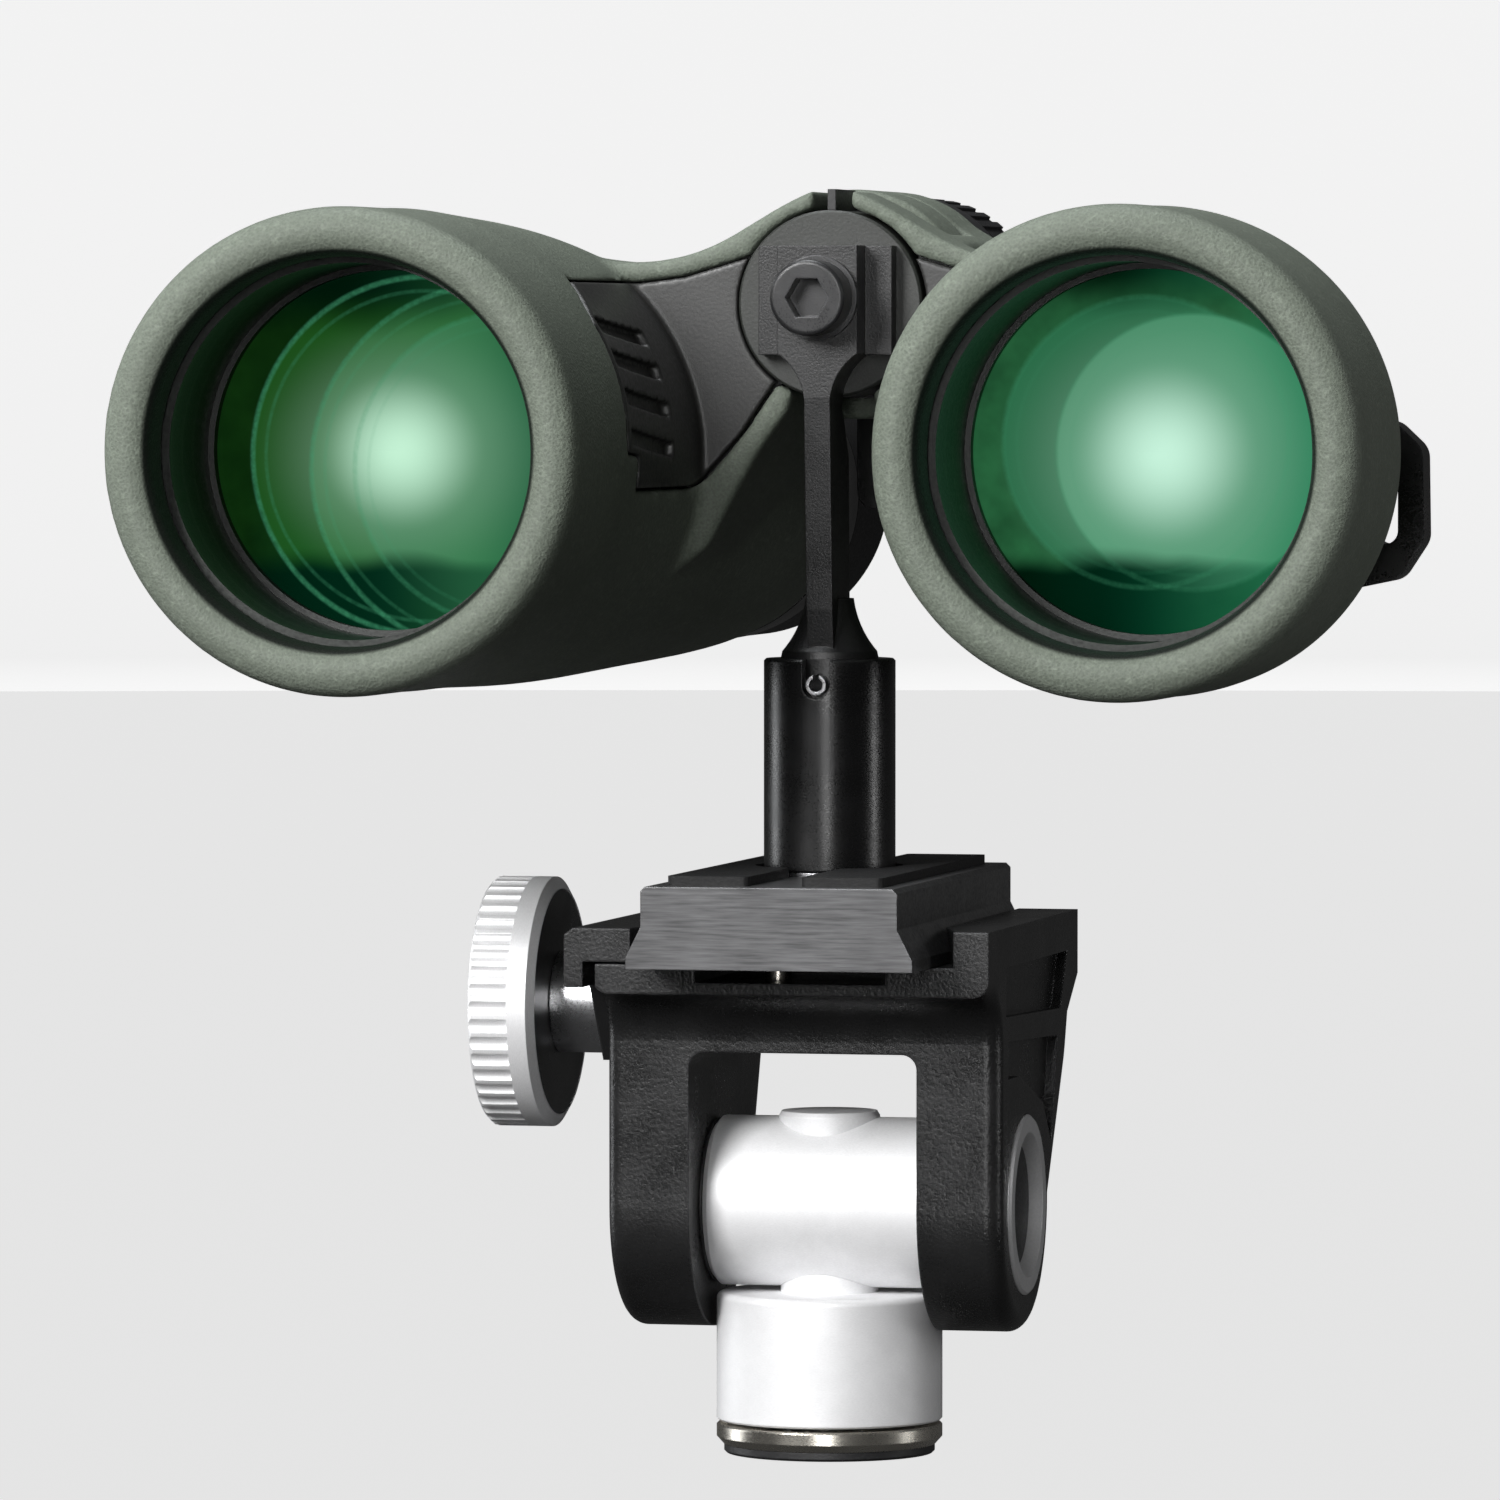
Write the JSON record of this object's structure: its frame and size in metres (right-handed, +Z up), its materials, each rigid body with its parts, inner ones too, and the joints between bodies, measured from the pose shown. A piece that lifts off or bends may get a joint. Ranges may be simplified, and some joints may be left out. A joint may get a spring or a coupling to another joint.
{
  "type": "tripod-mounted astronomy binoculars",
  "caption": "Roof-prism style 50 mm binoculars held by a stem adapter on a dovetail quick-release tilt head for a tripod.",
  "frame": {"origin": "mouth of the tripod thread, at the base's underside on the column's axis", "axes": "+Z up along the column and post, -Y the way the objectives look, +X to the right seen from the front"},
  "size_m": [0.1636, 0.1692, 0.1677],
  "materials": {
    "black_alloy": "matte, black anodised or painted",
    "cast_alloy": "grainy black paint on a casting",
    "satin_alloy": "satin",
    "brushed_alloy": "brushed",
    "nickel": "brushed",
    "steel": "satin",
    "black_steel": "satin, blackened",
    "brass": "satin",
    "green_rubber": "matte, fine grain",
    "black_rubber": "matte",
    "grey_inlay": "matte, fine grain",
    "black_plastic": "matte",
    "coated_glass": "polished, green coating",
    "clear_glass": "polished"
  },
  "bodies": {
    "base": {"base_disc": "black_plastic", "thread_insert": "steel", "base_ring": "nickel", "pan_spindle": "steel"},
    "column": {"column": "satin_alloy", "pan_bush": "brass", "tilt_barrel": "satin_alloy", "tie_bolt": "satin_alloy", "axle_bushes": "black_plastic"},
    "yoke": {"yoke": "cast_alloy", "tilt_pivots": "steel", "axle_caps": "satin_alloy", "cap_discs": "black_plastic", "friction_washers": "black_plastic", "stop_spring": "steel"},
    "stop": {"stop_pin": "nickel"},
    "jaw": {"clamp_jaw": "cast_alloy", "jaw_guide_pins": "steel"},
    "knob": {"knob_rim": "satin_alloy", "knob_disc": "black_plastic", "knob_screw": "steel"},
    "plate": {"dovetail_plate": "brushed_alloy", "plate_pads": "black_rubber", "post_washer": "steel", "post_sleeve": "black_alloy", "post_screw": "steel"},
    "adapter": {"adapter_stem": "black_alloy", "roll_pin": "steel", "screw_washer": "black_steel", "cap_screw": "black_steel", "hinge_cap": "black_plastic", "hinge_filler": "black_plastic", "hinge_shaft": "steel", "focus_housing": "black_plastic"},
    "wheel": {"focus_wheel": "black_plastic", "focus_grip": "black_rubber"},
    "focus_rod": {"focus_rod": "steel"},
    "barrel_left": {"housing_left": "black_alloy", "armour_left": "green_rubber", "inlay_left": "grey_inlay", "objective_cell_left": "black_alloy", "objective_lens_left": "coated_glass", "prisms_left": "clear_glass", "eyepiece_tube_left": "black_alloy", "eye_lenses_left": "coated_glass"},
    "focus_lens_left": {"focus_lens_left": "clear_glass"},
    "slider_left": {"eyecup_slider_left": "black_plastic"},
    "eyecup_left": {"eyecup_left": "black_rubber"},
    "barrel_right": {"housing_right": "black_alloy", "armour_right": "green_rubber", "inlay_right": "grey_inlay", "objective_cell_right": "black_alloy", "objective_lens_right": "coated_glass", "prisms_right": "clear_glass", "eyepiece_tube_right": "black_alloy", "eye_lenses_right": "coated_glass"},
    "focus_lens_right": {"focus_lens_right": "clear_glass"},
    "slider_right": {"eyecup_slider_right": "black_plastic"},
    "eyecup_right": {"eyecup_right": "black_rubber"},
    "diopter": {"diopter_ring": "black_rubber"}
  },
  "joints": [
    {"name": "pan_turn", "type": "hinge", "parent": "base", "child": "column", "pos_m": [0, 0, 0.0044], "axis": [0, 0, 1], "continuous": true},
    {"name": "head_tilt", "type": "hinge", "parent": "column", "child": "yoke", "pos_m": [0, 0, 0.0333], "axis": [1, 0, 0], "range_deg": [-80, 60]},
    {"name": "stop_press", "type": "slide", "parent": "yoke", "child": "stop", "axis": [0, 0, 1], "range_m": [-0.0009, 0], "stiffness_N_per_m": 400, "springref_m": 0.001, "deforming": ["stop_spring"]},
    {"name": "jaw_slide", "type": "slide", "parent": "yoke", "child": "jaw", "axis": [1, 0, 0], "range_m": [-0.005, 0.00075]},
    {"name": "knob_turn", "type": "hinge", "parent": "jaw", "child": "knob", "pos_m": [-0.038, 0.006, 0.059], "axis": [1, 0, 0], "range_deg": [-1800, 270]},
    {"name": "plate_slide", "type": "slide", "parent": "yoke", "child": "plate", "axis": [0, 1, 0], "range_m": [-0.02, 0.012]},
    {"name": "stem_lift", "type": "slide", "parent": "plate", "child": "adapter", "axis": [0, 0, 1], "range_m": [0, 0.03]},
    {"name": "focus_turn", "type": "hinge", "parent": "adapter", "child": "wheel", "pos_m": [0, 0.06, 0.15235], "axis": [0, 1, 0], "range_deg": [-220, 220]},
    {"name": "focus_rod_slide", "type": "slide", "parent": "adapter", "child": "focus_rod", "axis": [0, 1, 0], "range_m": [-0.00287, 0.00287]},
    {"name": "fold_left", "type": "hinge", "parent": "adapter", "child": "barrel_left", "pos_m": [0, 0.02, 0.15235], "axis": [0, 1, 0], "range_deg": [-11, 7]},
    {"name": "fold_right", "type": "hinge", "parent": "adapter", "child": "barrel_right", "pos_m": [0, 0.02, 0.15235], "axis": [0, 1, 0], "range_deg": [-7, 11]},
    {"name": "diopter_turn", "type": "hinge", "parent": "barrel_right", "child": "diopter", "pos_m": [0.0342, 0.079, 0.1261], "axis": [0, 1, 0], "range_deg": [-30, 30]},
    {"name": "focus_lens_slide_left", "type": "slide", "parent": "barrel_left", "child": "focus_lens_left", "axis": [0, 1, 0], "range_m": [-0.0029, 0.0029]},
    {"name": "eyecup_slide_left", "type": "slide", "parent": "barrel_left", "child": "slider_left", "axis": [0, 1, 0], "range_m": [0, 0.008]},
    {"name": "eyecup_turn_left", "type": "hinge", "parent": "slider_left", "child": "eyecup_left", "pos_m": [-0.0342, 0.09, 0.1261], "axis": [0, 1, 0], "range_deg": [0, 300]},
    {"name": "focus_lens_slide_right", "type": "slide", "parent": "barrel_right", "child": "focus_lens_right", "axis": [0, 1, 0], "range_m": [-0.0029, 0.0029]},
    {"name": "eyecup_slide_right", "type": "slide", "parent": "barrel_right", "child": "slider_right", "axis": [0, 1, 0], "range_m": [0, 0.008]},
    {"name": "eyecup_turn_right", "type": "hinge", "parent": "slider_right", "child": "eyecup_right", "pos_m": [0.0342, 0.09, 0.1261], "axis": [0, 1, 0], "range_deg": [0, 300]}
  ],
  "couplings": [
    {"joint": "knob_turn", "follows": "jaw_slide", "rad_per_m": 6283.2},
    {"joint": "focus_turn", "follows": "focus_rod_slide", "rad_per_m": 1333.3},
    {"joint": "fold_right", "follows": "fold_left", "ratio": -1},
    {"joint": "focus_lens_slide_left", "follows": "focus_rod_slide", "ratio": 1},
    {"joint": "eyecup_turn_left", "follows": "eyecup_slide_left", "rad_per_m": 654.5},
    {"joint": "focus_lens_slide_right", "follows": "focus_rod_slide", "ratio": 1},
    {"joint": "eyecup_turn_right", "follows": "eyecup_slide_right", "rad_per_m": 654.5}
  ]
}
